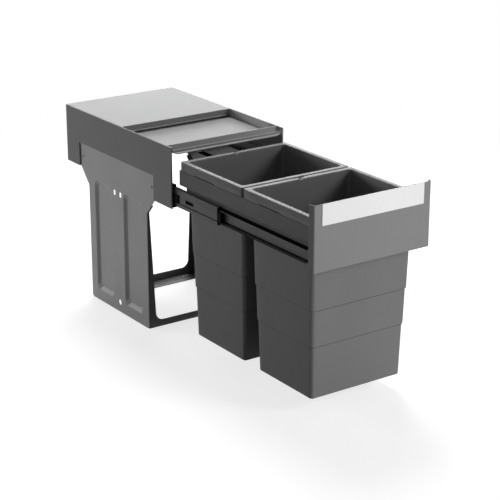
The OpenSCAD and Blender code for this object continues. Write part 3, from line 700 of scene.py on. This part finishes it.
for side in ("left", "right"):
    # the plates' inner faces are painted darker as shade
    rounded("side_plate_" + side, 0.3, channel_edges, 1.0, plate_inside, "frame_paint")
    rounded("slide_outer_" + side, 0.25, slide_edges, 0.5)
    rounded("slide_middle_" + side, 0.2, prepare=race_groove, second="groove_grease")
    rounded("slide_inner_" + side, 0.2, prepare=race_tracks, second="groove_grease")
    rounded("outer_stop_" + side, 0.5)
    rounded("middle_stop_" + side, 0.5)
    rounded("drawer_side_" + side, 0.3, prepare=side_bend, second="groove_grease")
    rounded("slide_screws_" + side, 0.4)
for name in ("front_stay", "rear_stay", "cross_bar_rear", "cross_bar_middle", "bracket_body",
             "panel_screws", "bracket_screws"):
    rounded(name)
rounded("rear_bracket", prepare=bracket_fit)
# the skirts' inner faces beside the tray take the lighter plate paint as painted light
rounded("top_cover", 0.4, cover_edges, prepare=skirt_inside, second="plate_paint")
tray_piece()
fold_bead()
rounded("front_panel", 0.4, panel_edges)
rounded("label_plate", 0.3)
for name in ("bin_front", "bin_rear"):
    bin_piece(name)
for name, piece in NODES.items():
    if name.startswith(("cage_", "balls_")):
        # near-black cages: their own dark colour, and also standing in for the shade seen through
        # the slot
        finish = "cage_steel" if name.startswith("cage_") else SLOT_OF[name]
        piece.data.materials.clear()
        piece.data.materials.append(FINISH[finish])


# ---------------------------------------------------------------- room, light and camera

FLOOR_SIZE, FLOOR_DROP, FLOOR_MIDDLE = 6, 0.0004, (0, -0.25, 0)
LAMPS = {
    "key": dict(place=(1.35, -2.35, 1.3), target=(0, -0.3, 0.3), size=0.8, power=21),
    "overhead": dict(place=(0.65, 0.8, 2.3), target=(0, -0.2, 0.35), size=1.1, power=55),
    "front_fill": dict(place=(0.55, -3.0, 0.25), target=(0, -0.6, 0.25), size=1.4, power=37,
                       height=0.4),
    "left_back": dict(place=(-1.9, 2.1, 0.85), target=(0, -0.2, 0.3), size=1.0, power=24.5,
                      height=0.5),
    "back_softbox": dict(place=(1.15, 2.0, 1.05), target=(0, -0.2, 0.38), size=2.2, power=34,
                         height=1.0),
}
WORLD_STRENGTH = 0.06

# Camera of the photograph
CAM_POS = (-1.645992, -2.656455, 1.207058)
CAM_RIGHT = (0.821863, -0.569683, 0.001241)
CAM_UP = (0.188086, 0.273401, 0.943332)
CAM_FORWARD = (0.537740, 0.775057, -0.331847)
CAM_LENS, CAM_SENSOR = 114.82, 36


def white_rays(tree):
    """1 for camera, glossy and transmission rays."""
    path = tree.nodes.new("ShaderNodeLightPath")
    found = path.outputs["Is Camera Ray"]
    for other in ("Is Glossy Ray", "Is Transmission Ray"):
        either = tree.nodes.new("ShaderNodeMath")
        either.operation = "MAXIMUM"
        tree.links.new(found, either.inputs[0])
        tree.links.new(path.outputs[other], either.inputs[1])
        found = either.outputs[0]
    return found


def blend(tree, factor, a, b):
    """Output of a node that mixes two shader outputs."""
    node = tree.nodes.new("ShaderNodeMixShader")
    for socket, source in zip(node.inputs, (factor, a, b)):
        tree.links.new(source, socket)
    return node.outputs[0]


def floor_paper(name, tone, seen_tone, lift, fade_from, fade_to):
    """Pale paper that camera and glossy rays see near white, with its shadow, and white further
    out."""
    material = bpy.data.materials.new(name)
    material.use_nodes = True
    tree = material.node_tree
    tree.nodes.clear()
    new, link = tree.nodes.new, tree.links.new
    paper, seen = new("ShaderNodeBsdfDiffuse"), new("ShaderNodeBsdfDiffuse")
    paper.inputs["Color"].default_value = (tone, tone, tone, 1)
    seen.inputs["Color"].default_value = (seen_tone, seen_tone, seen_tone, 1)
    glow, white = new("ShaderNodeEmission"), new("ShaderNodeEmission")
    glow.inputs["Strength"].default_value = lift
    lit = new("ShaderNodeAddShader")
    link(seen.outputs[0], lit.inputs[0])
    link(glow.outputs[0], lit.inputs[1])
    away = new("ShaderNodeVectorMath")
    away.operation = "DISTANCE"
    away.inputs[1].default_value = FLOOR_MIDDLE
    link(new("ShaderNodeTexCoord").outputs["Object"], away.inputs[0])
    fade = new("ShaderNodeMapRange")
    fade.interpolation_type = "SMOOTHSTEP"
    fade.inputs["From Min"].default_value = fade_from
    fade.inputs["From Max"].default_value = fade_to
    link(away.outputs["Value"], fade.inputs["Value"])
    far = blend(tree, fade.outputs["Result"], lit.outputs[0], white.outputs[0])
    surface = blend(tree, white_rays(tree), paper.outputs[0], far)
    link(surface, new("ShaderNodeOutputMaterial").inputs["Surface"])
    return material


def add_floor(paper):
    mesh = bmesh.new()
    bmesh.ops.create_grid(mesh, x_segments=8, y_segments=8, size=FLOOR_SIZE / 2)
    for vert in mesh.verts:
        vert.co.z = -FLOOR_DROP
    data = bpy.data.meshes.new("floor")
    mesh.to_mesh(data)
    mesh.free()
    data.materials.append(paper)
    floor = bpy.data.objects.new("floor", data)
    bpy.context.scene.collection.objects.link(floor)


def add_area(name, place, target, size, power, height=None):
    """Round lamp, or a wide and low one where a height is given."""
    data = bpy.data.lights.new(name, "AREA")
    data.shape = "RECTANGLE" if height else "DISK"
    data.size = size
    if height:
        data.size_y = height
    data.energy = power
    lamp = bpy.data.objects.new(name, data)
    lamp.location = place
    direction = Vector(target) - Vector(place)
    lamp.rotation_euler = direction.to_track_quat("-Z", "Y").to_euler()
    bpy.context.scene.collection.objects.link(lamp)


def add_world(strength):
    """Dim even light, which camera, glossy and transmission rays see as white."""
    world = bpy.data.worlds.new("room")
    bpy.context.scene.world = world
    world.use_nodes = True
    tree = world.node_tree
    tree.nodes.clear()
    soft, white = (tree.nodes.new("ShaderNodeBackground") for _ in range(2))
    for node in (soft, white):
        node.inputs["Color"].default_value = (1, 1, 1, 1)
    soft.inputs["Strength"].default_value = strength
    surface = blend(tree, white_rays(tree), soft.outputs[0], white.outputs[0])
    tree.links.new(surface, tree.nodes.new("ShaderNodeOutputWorld").inputs["Surface"])


def add_camera():
    data = bpy.data.cameras.new("photo_camera")
    data.sensor_width = CAM_SENSOR
    data.lens = CAM_LENS
    camera = bpy.data.objects.new("photo_camera", data)
    back = [-v for v in CAM_FORWARD]
    rows = [list(row) for row in zip(CAM_RIGHT, CAM_UP, back, CAM_POS)]
    camera.matrix_world = Matrix(rows + [[0, 0, 0, 1]])
    bpy.context.scene.collection.objects.link(camera)
    bpy.context.scene.camera = camera


add_floor(floor_paper("floor_paper", tone=0.2, seen_tone=0.4, lift=0.74,
                      fade_from=0.9, fade_to=1.7))
for name, values in LAMPS.items():
    add_area(name, **values)
add_world(WORLD_STRENGTH)
add_camera()
bpy.context.scene.view_settings.view_transform = "Standard"
